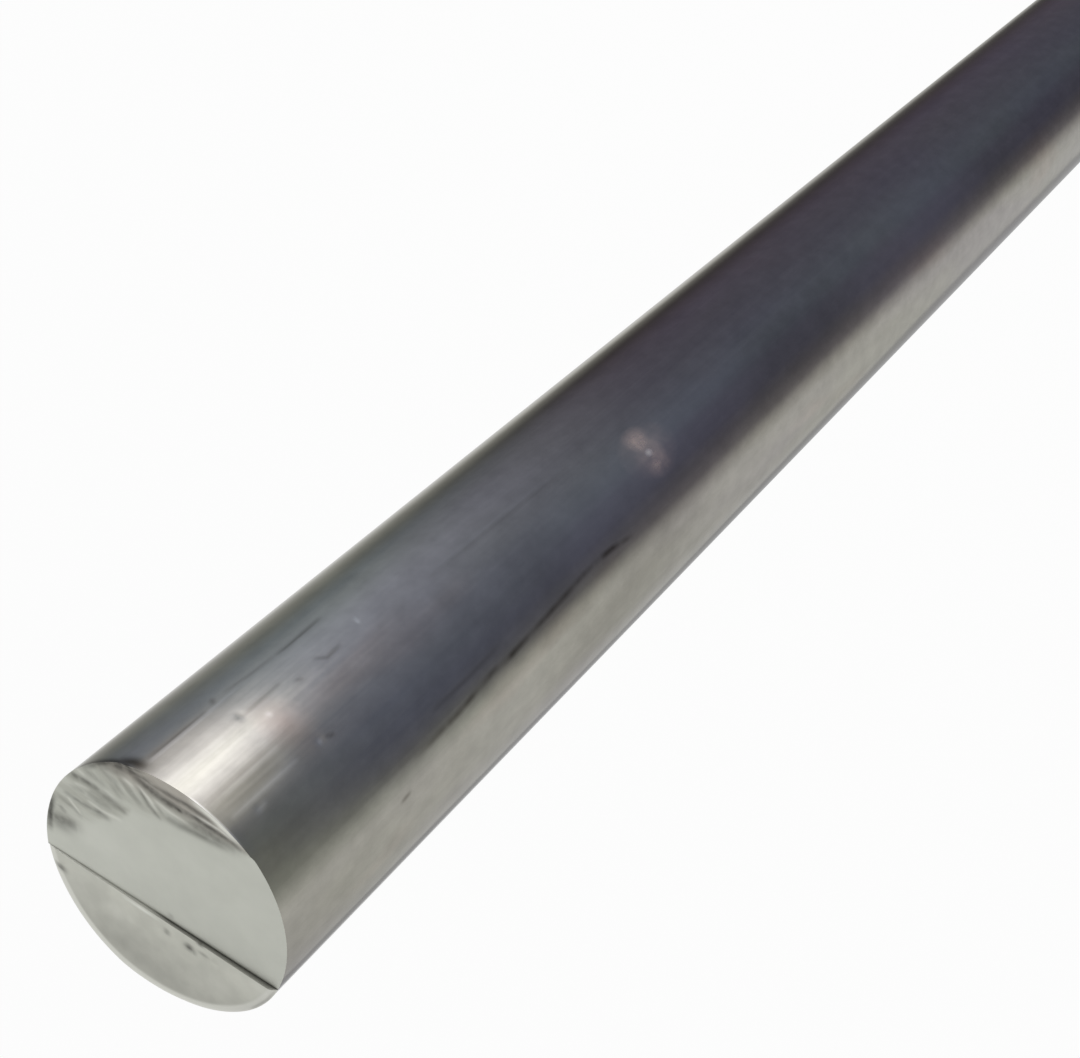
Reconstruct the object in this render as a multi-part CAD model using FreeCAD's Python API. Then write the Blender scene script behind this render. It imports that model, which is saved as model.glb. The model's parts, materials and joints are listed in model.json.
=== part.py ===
"""A length of plain round metal bar, as a stockholder saws it from a longer one.

The bar stands on its square-cut foot, because a round bar that lies down rolls.
The origin is the centre of the foot and Z runs up the bar's axis. The top end
shows how it was sawn. A first cut left most of the face square to the axis. The
bar was then turned and sawn through from the other side, which left a part of
the face, on the +Y side, standing a little proud along a straight step. Where
the blade first bit, on the -Y side, a thin sliver of the section stands proud
too. The foot is one square cut.

The sizes are in millimetres. Each saw line lies across the top end. "Across" is
the distance from the axis, at right angles to the line, and "along" is the
distance along it.
"""

import FreeCAD
import Part
import math
import os

Vector = FreeCAD.Vector

# The bar.
BAR_DIAMETER = 25.0
BAR_LENGTH = 500.0

# The step that the second cut left. It runs along X and is highest at the -X end.
STEP_ACROSS = 2.96
STEP_HEIGHT_MINUS_X = 0.46
STEP_HEIGHT_PLUS_X = 0.10
SECOND_CUT_HEIGHT_AT_RIM = 0.02
SECOND_CUT_EDGE_BREAK = 0.40

# The sliver where the first cut began, nearly opposite the step. Its turn is the
# angle about Z from +Y to the way that its "across" points.
SLIVER_ACROSS = 10.55
SLIVER_TURN = 173.5
SLIVER_HEIGHT_INNER = 0.12
SLIVER_HEIGHT_RIM = 0.34

# How far the cutting shapes reach past the bar.
CUT_MARGIN = 3.0

bar_radius = BAR_DIAMETER / 2
cut_reach = bar_radius + CUT_MARGIN


def top_point(turn, along, across, height):
    """A point by its place relative to a saw line, and its height over the main face."""
    angle = math.radians(turn)
    x = along * math.cos(angle) - across * math.sin(angle)
    y = along * math.sin(angle) + across * math.cos(angle)
    return Vector(x, y, BAR_LENGTH + height)


def waste_over(corners):
    """The waste that a cut takes away: all that stands over a flat patch."""
    patch = Part.Face(Part.makePolygon(corners + corners[:1]))
    return patch.extrude(Vector(0, 0, 2 * CUT_MARGIN))


def waste_beyond_line(turn, line_across, height_at):
    """The waste over the part of the face that lies beyond a line across the end.

    height_at gives the new face's height from the places along and across.
    """
    corners = []
    for along, across in (
        (-cut_reach, line_across),
        (cut_reach, line_across),
        (cut_reach, cut_reach),
        (-cut_reach, cut_reach),
    ):
        corners.append(top_point(turn, along, across, height_at(along, across)))
    return waste_over(corners)


def second_cut_height(along, across):
    """The second cut's face: it slopes along the step, and falls from it to the rim."""
    height_at_step = (STEP_HEIGHT_MINUS_X + STEP_HEIGHT_PLUS_X) / 2
    slope_along = (STEP_HEIGHT_PLUS_X - STEP_HEIGHT_MINUS_X) / BAR_DIAMETER
    fall = (height_at_step - SECOND_CUT_HEIGHT_AT_RIM) / (bar_radius - STEP_ACROSS)
    return height_at_step + slope_along * along - fall * (across - STEP_ACROSS)


def sliver_height(along, across):
    """The sliver's face: a little over the main face, and rising to the rim."""
    rise = (SLIVER_HEIGHT_RIM - SLIVER_HEIGHT_INNER) / (bar_radius - SLIVER_ACROSS)
    return SLIVER_HEIGHT_INNER + rise * (across - SLIVER_ACROSS)


def main_face_waste():
    """What the first cut took off, between the step and the sliver."""
    corners = []
    for turn, across in ((0.0, STEP_ACROSS), (SLIVER_TURN, SLIVER_ACROSS)):
        for along in (-cut_reach, cut_reach):
            corners.append(top_point(turn, along, across, 0.0))
    return waste_over(corners)


def uncut_stock():
    """The round stock, a little longer than the bar."""
    return Part.makeCylinder(bar_radius, BAR_LENGTH + CUT_MARGIN)


def all_beyond_step():
    """A block that holds all of the stock beyond the step, from the foot up."""
    height = BAR_LENGTH + 2 * CUT_MARGIN
    return Part.makeBox(2 * cut_reach, cut_reach, height, Vector(-cut_reach, STEP_ACROSS, 0))


def end_of_first_cut():
    """The stock on the near side of the step, with the main face and the sliver."""
    stock = uncut_stock().cut(main_face_waste())
    stock = stock.cut(waste_beyond_line(SLIVER_TURN, SLIVER_ACROSS, sliver_height))
    return stock.cut(all_beyond_step())


def end_of_second_cut():
    """The stock beyond the step. The rim is broken while the sloping end is still whole."""
    stock = uncut_stock().cut(waste_beyond_line(0.0, -cut_reach, second_cut_height))
    rim = [edge for edge in stock.Edges if edge.BoundBox.ZMin > BAR_LENGTH - CUT_MARGIN]
    stock = stock.makeChamfer(SECOND_CUT_EDGE_BREAK, rim)
    return stock.common(all_beyond_step())


def round_bar():
    """The whole bar, one solid."""
    joined = end_of_first_cut().fuse(end_of_second_cut())
    return joined.removeSplitter()


bar = round_bar()
os.makedirs("parts", exist_ok=True)
bar.exportStep("parts/round_bar.step")
print("round_bar: solids", len(bar.Solids), "faces", len(bar.Faces), "valid", bar.isValid())
print("volume", round(bar.Volume, 1), "mm3, box", bar.optimalBoundingBox())
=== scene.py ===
# %% [markdown]
# A sawn length of round metal bar.
# A stockholder keeps such bar in long lengths and saws off what is asked for. The bar
# itself is the simplest thing there is, so all that makes it look real is in two places:
# the skin, which was pulled through a die and shows long straight lines, and the sawn
# end, which was cut in two goes and shows a step, torn metal and a filed rim.
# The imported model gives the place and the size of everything, so it is loaded first.

# %% Load the frame
import json
import math
import bpy
import numpy as np
from mathutils import Matrix, Vector


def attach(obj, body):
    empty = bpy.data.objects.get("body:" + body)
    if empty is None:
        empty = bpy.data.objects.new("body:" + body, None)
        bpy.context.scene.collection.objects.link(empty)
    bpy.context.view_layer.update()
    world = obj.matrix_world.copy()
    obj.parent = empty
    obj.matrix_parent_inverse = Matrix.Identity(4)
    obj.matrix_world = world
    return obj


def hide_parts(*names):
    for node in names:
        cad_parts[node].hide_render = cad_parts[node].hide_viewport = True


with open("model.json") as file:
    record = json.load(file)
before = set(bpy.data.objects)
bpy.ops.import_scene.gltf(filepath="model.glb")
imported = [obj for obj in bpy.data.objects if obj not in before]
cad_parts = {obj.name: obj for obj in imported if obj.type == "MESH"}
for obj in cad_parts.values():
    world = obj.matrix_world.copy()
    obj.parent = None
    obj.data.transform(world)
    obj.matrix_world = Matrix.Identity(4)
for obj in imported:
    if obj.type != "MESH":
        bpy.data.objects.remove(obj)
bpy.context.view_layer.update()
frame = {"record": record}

MM = 0.001
scene = bpy.context.scene
grip = next(mount for mount in frame["record"]["mounts"] if mount["name"] == "bar_outside")
bar_radius = grip["dims"]["r_mm"] * MM
bar_length = grip["dims"]["length_mm"] * MM
print("bar radius", bar_radius, "m, length", bar_length, "m")

# %% [markdown]
# Which way the bar is seen.
# The bar is stored on its end, because a round bar that lies down rolls. It is looked at
# as if it lay on a table with its sawn top towards us, so three directions are named for
# that: away from us along the bar, to our left, and up. They are worked out from one
# angle, the slope of the saw step against the table. The camera is then placed with
# them, which turns it on its side, and the bar fills the picture as it should.

# %% The lying bar's directions
STEP_SLOPE = math.radians(13.2)
away = Vector((0.0, 0.0, -1.0))
left = Vector((math.cos(STEP_SLOPE), math.sin(STEP_SLOPE), 0.0))
up = Vector((math.sin(STEP_SLOPE), -math.cos(STEP_SLOPE), 0.0))
lying = Matrix((away, left, up)).transposed()
top_centre = Vector((0.0, 0.0, bar_length))


def lying_angle(theta):
    """The turn round the axis from our right-hand side towards up, from the angle theta round Z.

    It is theta less half a turn and less the slope of the step, kept within half a turn.
    """
    turn = theta - math.pi - STEP_SLOPE
    return (turn + math.pi) % (2 * math.pi) - math.pi


def put_in_scene(name, data):
    """Makes an object of a mesh or a camera, and puts it in the scene."""
    thing = bpy.data.objects.new(name, data)
    scene.collection.objects.link(thing)
    return thing


# %% The camera
# The camera's place from the middle of the sawn end, its view and its own right-hand
# side, each measured away from us, to our left and up.
CAMERA_FROM_TOP = Vector((-95.715, -91.261, 112.795)) * MM
VIEW_FORWARD = Vector((0.7404, 0.4284, -0.5180))
VIEW_RIGHT = Vector((0.5009, -0.8655, 0.0))
SENSOR_WIDTH = 36.0
NEAREST_SEEN = 0.01
# The focal length, and the width of the picture in the same unit.
FOCAL_PIXELS = 2040.8
PICTURE_PIXELS = 1080

view_forward = (lying @ VIEW_FORWARD).normalized()
view_right = (lying @ VIEW_RIGHT).normalized()
view_up = view_right.cross(view_forward)

camera_data = bpy.data.cameras.new("camera")
camera_data.sensor_width = SENSOR_WIDTH
camera_data.lens = SENSOR_WIDTH * FOCAL_PIXELS / PICTURE_PIXELS
camera_data.clip_start = NEAREST_SEEN
camera = put_in_scene("camera", camera_data)
turned = Matrix((view_right, view_up, -view_forward)).transposed().to_4x4()
camera.matrix_world = Matrix.Translation(top_centre + lying @ CAMERA_FROM_TOP) @ turned
scene.camera = camera
camera_place = [round(c, 4) for c in camera.matrix_world.translation]
print("camera at", camera_place, "lens", round(camera_data.lens, 2))

# %% [markdown]
# The sawn end as rows of straight chords.
# Both saw lines are straight, so a grid of rings would show them as stairs. The face is
# covered with chords of the circle instead. They run along the step, then turn bit by
# bit until they run along the sliver. A chord is named by the angles of its two ends,
# and the ends of all the chords, taken round the circle, are where the skin begins.

# %% The saw lines and the chords' ends
STEP_ACROSS = 2.96 * MM
SLIVER_ACROSS = 10.55 * MM
SLIVER_TURN = math.radians(173.5)
RISER_HALF_WIDTH = 0.015 * MM
LIP_WIDTH = 0.030 * MM
CORNER_WIDTH = 0.08 * MM
CHORDS_SECOND_CUT = 52
CHORDS_MAIN = 92
CHORDS_SLIVER = 30
SKIN_CLEARANCE = 0.013 * MM

skin_radius = bar_radius - SKIN_CLEARANCE


def chord_ends(across, turn):
    """The angles round Z of both ends of the chord that lies across from the axis, turned.

    The middle of the chord points a quarter turn beyond turn. The ends lie the arc
    cosine of across over the radius to both sides of it.
    """
    middle = turn + math.pi / 2
    half = math.acos(across / skin_radius)
    return middle - half, middle + half


lip = chord_ends(STEP_ACROSS + RISER_HALF_WIDTH + LIP_WIDTH, 0.0)
step_outer = chord_ends(STEP_ACROSS + RISER_HALF_WIDTH, 0.0)
step_inner = chord_ends(STEP_ACROSS - RISER_HALF_WIDTH, 0.0)
corner = chord_ends(STEP_ACROSS - CORNER_WIDTH, 0.0)
sliver_low, sliver_high = chord_ends(SLIVER_ACROSS, SLIVER_TURN)
sliver_pole = SLIVER_TURN + math.pi / 2
full_turn = 2 * math.pi


def ends_on_side(side, sliver_end, pole):
    """The ends of all the chords on one side, from the second cut's rim to the sliver's.

    The angles are spaced evenly within the second cut, the main face and the sliver, and
    the riser of the step has one chord at its top and one at its foot.
    """
    return np.concatenate([
        np.linspace(math.pi / 2, lip[side], CHORDS_SECOND_CUT),
        [step_outer[side], step_inner[side]],
        np.linspace(corner[side], sliver_end, CHORDS_MAIN + 1),
        np.linspace(sliver_end, pole, CHORDS_SLIVER + 1)[1:],
    ])


plus_x_ends = ends_on_side(0, sliver_high - full_turn, sliver_pole - full_turn)
minus_x_ends = ends_on_side(1, sliver_low, sliver_pole)
chord_count = len(plus_x_ends)
print("chords", chord_count, "step ends at", [round(math.degrees(a), 1) for a in step_inner])

# %% [markdown]
# The heights of the sawn end.
# All heights are over the main face. The second cut's face slopes, and the sliver rises to
# its rim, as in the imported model. The rim of the second cut was broken with a file, which
# a hand holds now flatter and now steeper, so here the rim is rounded more in some places.

# %% The cut faces
STEP_HEIGHT_MINUS_X = 0.46 * MM
STEP_HEIGHT_PLUS_X = 0.10 * MM
SECOND_CUT_HEIGHT_AT_RIM = 0.02 * MM
SLIVER_HEIGHT_INNER = 0.12 * MM
SLIVER_HEIGHT_RIM = 0.34 * MM
# The filed rim: the angle round Z in degrees, and the width and fall there in millimetres.
FILED_RIM = (
    (13, 0.9, 0.22), (35, 1.3, 0.28), (75, 1.45, 0.29), (90, 1.6, 0.45),
    (105, 1.6, 0.58), (130, 1.4, 0.62), (150, 1.0, 0.55), (167, 0.8, 0.46),
)


def filed_share(x, y):
    """How far a place is into the filed rim, from 0 to 1, and how much the whole rim falls there."""
    turns, widths, falls = np.array(FILED_RIM).T
    turn = np.degrees(np.arctan2(y, x))
    width = np.interp(turn, turns, widths) * MM
    share = np.clip(1 - (skin_radius - np.hypot(x, y)) / width, 0.0, 1.0)
    return share, np.interp(turn, turns, falls) * MM


def second_cut_height(x, y):
    """The height falls evenly along X and from the step to the rim.

    In the filed rim it also falls by the square of the way into it, which rounds it.
    """
    height_at_step = (STEP_HEIGHT_MINUS_X + STEP_HEIGHT_PLUS_X) / 2
    slope = (STEP_HEIGHT_PLUS_X - STEP_HEIGHT_MINUS_X) / (2 * bar_radius)
    fall = (height_at_step - SECOND_CUT_HEIGHT_AT_RIM) / (bar_radius - STEP_ACROSS)
    into_rim, rim_fall = filed_share(x, y)
    return height_at_step + slope * x - fall * (y - STEP_ACROSS) - rim_fall * into_rim**2


def sliver_across(x, y):
    """The distance from the axis at right angles to the sliver's line: x and y on its direction."""
    return -x * math.sin(SLIVER_TURN) + y * math.cos(SLIVER_TURN)


def sliver_height(x, y):
    """The height rises evenly from the sliver's line to the rim."""
    rise = (SLIVER_HEIGHT_RIM - SLIVER_HEIGHT_INNER) / (bar_radius - SLIVER_ACROSS)
    return SLIVER_HEIGHT_INNER + rise * (sliver_across(x, y) - SLIVER_ACROSS)


# %% [markdown]
# The torn strokes.
# A blade that starts to bite tears short furrows instead of cutting. They follow its
# travel, here along X, and fan out where it jumped. Each stroke is a path over the face
# with a width, a depth and how much darker it is painted. Between them some metal was
# smeared bright, and those strokes have paths too, as have two painted highlights, on the
# rim by the sliver and on the lip of the step.

# %% Torn strokes, smears and painted highlights
# Each torn stroke is a path of places in millimetres, its half width and its depth in
# millimetres, and how much darker it is painted, from 0 to 1.
TORN_STROKES = (
    (((12.15, -3.0), (12.2, -1.2), (12.1, 0.9)), 0.36, 0.04, 0.86),
    (((12.0, -0.6), (10.9, -0.7), (9.3, -1.1)), 0.72, 0.02, 0.62),
    (((11.3, -2.3), (10.5, -1.8)), 0.26, 0.02, 0.36),
    (((11.5, -3.3), (9.9, -3.0), (8.9, -2.5)), 0.22, 0.02, 0.28),
    (((10.9, -4.2), (9.1, -4.1), (7.6, -4.25)), 0.25, 0.03, 0.48),
    (((8.0, -4.2), (7.2, -4.3), (6.2, -4.2)), 0.28, 0.03, 0.56),
    (((10.2, -5.3), (8.8, -5.5)), 0.24, 0.02, 0.25),
    (((10.4, -6.6), (9.5, -6.75)), 0.34, 0.03, 0.62),
    (((9.9, -6.8), (8.2, -6.8), (7.3, -6.75)), 0.33, 0.03, 0.58),
    (((7.8, -6.6), (6.4, -6.4), (5.0, -6.3)), 0.50, 0.02, 0.40),
    (((8.6, -5.7), (7.2, -5.5), (6.0, -5.6)), 0.50, 0.02, 0.32),
    (((5.9, -6.4), (4.6, -6.1)), 0.28, 0.02, 0.42),
    (((9.5, -8.1), (8.2, -7.9), (6.8, -7.6)), 0.30, 0.02, 0.28),
    (((7.5, -9.3), (6.0, -8.8), (5.2, -7.8)), 0.34, 0.02, 0.28),
    (((6.4, -8.2), (5.2, -7.3)), 0.28, 0.01, 0.24),
    (((5.7, -9.4), (4.4, -8.7), (3.1, -8.0)), 0.34, 0.02, 0.28),
    (((3.75, -9.7), (2.45, -8.45), (1.25, -7.8)), 0.21, 0.04, 0.52),
    (((2.0, -8.9), (0.9, -8.5)), 0.20, 0.02, 0.26),
    (((0.8, -8.4), (-0.6, -8.35), (-2.0, -8.6), (-3.7, -8.8), (-5.6, -9.1)), 0.42, 0.03, 0.50),
    (((-1.4, -9.4), (-4.0, -9.45), (-6.2, -9.6)), 0.66, 0.03, 0.58),
    (((9.2, -8.4), (7.7, -9.75), (5.9, -10.95), (3.3, -11.9)), 0.36, 0.0, 0.86),
    (((8.6, -9.2), (6.6, -10.45), (4.3, -11.0), (2.4, -11.1)), 0.52, 0.05, 0.78),
    (((2.6, -10.95), (0.6, -11.15), (-1.2, -11.25), (-4.0, -11.1)), 0.34, 0.05, 0.72),
    (((8.0, -9.3), (6.4, -10.0), (4.8, -10.4)), 0.50, 0.0, 0.42),
    (((4.6, -10.75), (2.6, -10.25), (0.8, -10.0), (-1.2, -10.05)), 0.44, 0.06, 0.80),
    (((-0.6, -10.0), (-2.2, -10.25), (-4.4, -10.1), (-6.8, -9.95)), 0.50, 0.06, 0.82),
    (((-10.0, 7.2), (-11.35, 4.85), (-12.0, 3.1)), 0.16, 0.0, 0.34),
)
# Each bright stroke is a path, its half width, and how bright it is from 0 to 1. Most are
# smeared metal, and the last two are painted highlights.
SMEAR_AND_HIGHLIGHT_STROKES = (
    (((10.5, -3.8), (9.1, -2.85)), 0.15, 0.60),
    (((8.4, -4.85), (7.0, -4.65), (5.0, -4.95)), 0.17, 0.60),
    (((10.2, -7.7), (9.0, -7.4)), 0.22, 0.40),
    (((9.9, -6.0), (8.4, -6.15)), 0.15, 0.35),
    (((6.9, -7.2), (5.8, -6.95)), 0.16, 0.30),
    (((5.2, -9.75), (4.2, -9.5)), 0.18, 0.45),
    (((3.7, -9.9), (2.5, -9.2), (1.6, -8.5)), 0.21, 0.60),
    (((2.0, -9.45), (0.2, -9.15), (-1.9, -9.15)), 0.17, 0.45),
    (((-1.9, -10.6), (-3.2, -10.75), (-4.6, -10.75), (-6.6, -10.35)), 0.18, 0.80),
    # A painted highlight along the rim by the sliver.
    (((-1.8, -12.2), (-3.4, -11.8), (-5.0, -11.25), (-6.6, -10.45)), 0.38, 1.0),
    # A painted highlight on the lip of the step.
    (((3.8, 3.42), (1.6, 3.32), (-0.6, 3.14)), 0.12, 0.80),
)
# How strong a stroke still is at the ends of its path, and the small share of the way that
# the taper leaves out there, because it is steepest.
STRENGTH_AT_ENDS = 0.3
NEXT_TO_END = 0.001


def distance_to_path(x, y, path):
    """The distance of each point from a path of straight stretches, and the share along it.

    On each stretch the point's share of the way is kept between 0 and 1. The distance is
    that to the place with this share, and the nearest of all stretches counts.
    """
    places = np.array(path)
    runs = np.diff(places, axis=0)
    lengths = np.hypot(runs[:, 0], runs[:, 1])
    before = np.cumsum(lengths) - lengths
    from_x, from_y = x[..., None] - places[:-1, 0], y[..., None] - places[:-1, 1]
    share = np.clip((from_x * runs[:, 0] + from_y * runs[:, 1]) / lengths**2, 0.0, 1.0)
    distances = np.hypot(from_x - share * runs[:, 0], from_y - share * runs[:, 1])
    nearest = np.argmin(distances, axis=-1)[..., None]
    distance = np.take_along_axis(distances, nearest, -1)[..., 0]
    along = np.take_along_axis(before + share * lengths, nearest, -1)[..., 0]
    return distance, along / lengths.sum()


def stroke_field(x, y, path, half_width):
    """How strong a stroke is at each point, from 0 to 1.

    It is a bell curve of the distance from the path. Towards both ends of the path it
    weakens to about a third, by the square root of a sine.
    """
    distance, share = distance_to_path(x / MM, y / MM, path)
    share = np.clip(share, NEXT_TO_END, 1 - NEXT_TO_END)
    taper = STRENGTH_AT_ENDS + (1 - STRENGTH_AT_ENDS) * np.sqrt(np.sin(np.pi * share))
    return taper * np.exp(-((distance / half_width) ** 2))


def strongest_stroke(x, y, strokes):
    """The strongest of some strokes at each point. Each has a path, a half width and a strength."""
    field = np.zeros_like(x)
    for path, half_width, strength in strokes:
        field = np.maximum(field, strength * stroke_field(x, y, path, half_width))
    return field


def furrow_depth(x, y):
    """The depth of the torn strokes in metres. Where strokes cross, the deeper one counts."""
    furrows = [(path, half_width, depth * MM) for path, half_width, depth, _ in TORN_STROKES]
    return strongest_stroke(x, y, furrows)


# %% [markdown]
# Where the metal is torn, darkened or lightened.
# A few shares from 0 to 1 are worked out for every point. One says how rough the saw left
# it. One says how much darker it is painted: dark specks of swarf and oil, the dark of the
# torn strokes, and painted shade on the step's riser and in the corner under it, more where
# the step is high. One says where it is painted lighter: smeared metal, lighter patches, and
# painted highlights on the rim and on the step's lip. The finish below mixes its metals by them.

# %% The torn area and the spots
# The limit of the torn area, as places in millimetres along X. The torn look fades over
# the width given, and the limit lies at the share given of that width.
TORN_LIMIT = (
    (-9.0, -10.5), (-6.5, -9.7), (-1.0, -8.2), (1.4, -7.7), (4.0, -6.8),
    (5.0, -5.1), (6.6, -3.9), (9.2, -1.4), (12.6, 1.2),
)
TORN_FADE_WIDTH = 1.2 * MM
TORN_SHARE_AT_LIMIT = 0.4
# The painted shade under the step: how strong it is where the step is low, how much stronger
# where the step is high, and where along X it changes, in millimetres.
STEP_SHADE_LOW_SIDE = 0.48
STEP_SHADE_ADDED = 0.48
STEP_SHADE_CHANGES_FROM = -1.2
STEP_SHADE_CHANGES_TO = 1.6
# Spots: the middle, the half sizes along X and Y in millimetres, and the strength.
DIRT_AND_SHADE_SPOTS = (
    ((11.0, -0.3), (1.3, 0.80), 0.46),
    ((7.2, -5.9), (1.7, 0.7), 0.20),
    ((4.9, -11.4), (0.70, 0.50), 0.95),
    ((5.2, -10.8), (0.45, 0.25), 0.75),
    ((7.3, -10.2), (1.0, 0.16), 0.40),
    ((10.6, 4.75), (0.60, 0.32), 0.75),
    ((-1.0, 4.1), (0.34, 0.30), 0.50),
    ((-3.4, 4.2), (0.50, 0.36), 0.84),
    ((-3.9, 4.4), (0.30, 0.22), 0.50),
    ((-4.9, 3.95), (0.60, 0.22), 0.38),
    ((-6.0, 3.8), (0.65, 0.16), 0.26),
    ((-4.4, 3.0), (0.42, 0.14), 0.70),
    ((-1.0, 2.3), (0.34, 0.28), 0.24),
    ((3.5, 9.1), (1.2, 0.9), 0.14),
    ((0.4, 9.6), (2.8, 0.9), 0.07),
    ((5.7, 7.6), (1.0, 0.9), 0.10),
    ((1.6, 4.9), (0.9, 0.6), 0.09),
    ((-0.25, -9.95), (0.75, 0.24), 0.95),
    # A broad painted shadow beside the step, on the main face where the step is high.
    ((-4.5, 0.8), (7.0, 2.4), 0.045),
)
BRIGHT_SPOTS = (
    ((4.4, 5.6), (1.5, 0.9), 0.16),
    ((7.5, -1.2), (4.0, 1.8), 0.16),
    ((9.0, 5.5), (2.6, 3.5), 0.08),
    ((-11.0, 3.7), (1.8, 1.0), 0.24),
    ((11.4, -5.4), (0.9, 0.8), 0.22),
    ((2.9, 5.6), (0.5, 0.35), 0.15),
    ((-6.5, 6.5), (2.0, 1.2), 0.08),
)


def smooth_step(value):
    """An even value from 0 to 1, eased at both ends: three squares less two cubes."""
    value = np.clip(value, 0.0, 1.0)
    return value * value * (3 - 2 * value)


def patch_field(x, y, patches):
    """The strongest of some soft spots: each is a bell curve of the distance over its two sizes."""
    field = np.zeros_like(x)
    for centre, sizes, strength in patches:
        reach = ((x / MM - centre[0]) / sizes[0]) ** 2 + ((y / MM - centre[1]) / sizes[1]) ** 2
        field = np.maximum(field, strength * np.exp(-reach))
    return field


def step_painted_shade(x, y):
    """Painted shade on the riser and in the corner under it.

    It is full at the riser's foot and gone a little way from it along the face. Up the
    riser it thins out, so the riser's top has half of it.
    """
    from_foot = STEP_ACROSS - RISER_HALF_WIDTH - y
    along_face = np.exp(-((np.maximum(from_foot, 0.0) / CORNER_WIDTH) ** 2))
    riser_top = -2 * RISER_HALF_WIDTH
    up_riser = np.interp(from_foot, (1.25 * riser_top, riser_top, 0.0), (0.0, 0.5, 1.0))
    change = STEP_SHADE_CHANGES_TO - STEP_SHADE_CHANGES_FROM
    high_side = smooth_step((STEP_SHADE_CHANGES_TO - x / MM) / change)
    return along_face * up_riser * (STEP_SHADE_LOW_SIDE + STEP_SHADE_ADDED * high_side)


def torn_area(x, y):
    """1 in the torn area and 0 on the clean face, eased at its limit."""
    limit_x, limit_y = np.array(TORN_LIMIT).T * MM
    inside = (np.interp(x, limit_x, limit_y) - y) / TORN_FADE_WIDTH
    return smooth_step(inside + TORN_SHARE_AT_LIMIT)


# %% [markdown]
# The whole bar as one closed surface.
# A modeller might take a cylinder and cut into it. Here each part of the surface is a
# function of two parameters instead, worked out as whole arrays: the face from the chord
# and the place along it, the skin from the angle and the distance from the sawn end, and
# the foot from the angle and the radius. They share the points where they meet, so the
# surface is closed.

# %% The face
POINTS_ALONG_CHORD = 150
EVEN_SHARE = 0.6
SLIVER_EASE_WIDTH = 0.35 * MM

# Places along a chord from -1 to 1: partly even, and partly a sine that crowds them at its ends.
even_place = np.linspace(-1.0, 1.0, POINTS_ALONG_CHORD + 1)
chord_place = EVEN_SHARE * even_place + (1 - EVEN_SHARE) * np.sin(np.pi / 2 * even_place)


def face_points():
    """The points of the sawn end, as an array of chords by places along them.

    A point is the mean of the chord's two ends, weighted by the place from -1 to 1. Its
    height is that of the cut which its chord belongs to, less the furrows. The foot of the
    sliver is eased over a short width.
    """
    plus = skin_radius * np.stack([np.cos(plus_x_ends), np.sin(plus_x_ends)], axis=-1)
    minus = skin_radius * np.stack([np.cos(minus_x_ends), np.sin(minus_x_ends)], axis=-1)
    share = (chord_place + 1) / 2
    flat = minus[:, None, :] * (1 - share)[None, :, None] + plus[:, None, :] * share[None, :, None]
    x, y = flat[..., 0], flat[..., 1]
    second = np.arange(chord_count)[:, None] <= CHORDS_SECOND_CUT
    in_sliver = smooth_step((sliver_across(x, y) - SLIVER_ACROSS) / SLIVER_EASE_WIDTH + 0.5)
    height = np.where(second, second_cut_height(x, y), sliver_height(x, y) * in_sliver)
    height = height - furrow_depth(x, y)
    return np.stack([x, y, bar_length + height], axis=-1)


face = face_points()
highest = (face[..., 2].max() - bar_length) / MM
print("face grid", face.shape[:2], "height over the main face", round(highest, 3), "mm")

# %% [markdown]
# The skin's shape.
# Drawn bar isn't a perfect cylinder: the die leaves flutes a hundredth of a millimetre
# deep, which wander slowly along the bar, and the mirror image in the skin shows them as
# long uneven bands. Handling adds small dents. The rows of the grid lie close together
# near the sawn end, where the dents are, and further apart towards the foot.

# %% The skin
NEAR_ROW_STEP = 0.22 * MM
NEAR_LENGTH = 26.0 * MM
ROW_GROWTH = 1.065
MOST_FAR_ROWS = 200
LAST_ROW_SHARE = 0.985
ROUND_AT_RIM_LENGTH = 1.0 * MM
# Flutes: how many round the bar, their half depth in millimetres, and turns along the bar.
FLUTES = (
    (3, 0.0022, 0.7),
    (7, 0.0016, -1.3),
    (11, 0.0014, 1.9),
    (17, 0.0008, -2.3),
    (29, 0.0004, 3.1),
)
# Dents: the lying angle in degrees, the distance from the sawn end, the half sizes round
# and along the bar, and the depth, all in millimetres.
DENTS = (
    (81.0, 26.3, 0.35, 0.45, 0.010),
    (77.5, 20.8, 0.35, 0.90, 0.008),
    (53.3, 13.0, 0.35, 0.50, 0.010),
    (49.8, 3.8, 0.35, 0.50, 0.009),
    (82.0, 10.0, 0.50, 0.50, 0.008),
    (10.8, 17.8, 0.40, 0.50, 0.008),
)

rim_order = np.concatenate([np.arange(chord_count), np.arange(chord_count - 2, 0, -1)])
rim_side = np.concatenate([np.zeros(chord_count, int), np.full(chord_count - 2, POINTS_ALONG_CHORD)])
rim_points = face[rim_order, rim_side]
rim_angles = np.concatenate([minus_x_ends, plus_x_ends[-2:0:-1] + full_turn])
column_count = len(rim_angles)

near_rows = np.arange(0.0, NEAR_LENGTH, NEAR_ROW_STEP)
far_steps = NEAR_ROW_STEP * ROW_GROWTH ** np.arange(MOST_FAR_ROWS)
far_rows = NEAR_LENGTH + np.cumsum(far_steps)
far_rows = far_rows[far_rows < bar_length * LAST_ROW_SHARE]
skin_rows = np.concatenate([near_rows, far_rows, [bar_length]])
print("skin columns", column_count, "rows", len(skin_rows))


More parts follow.
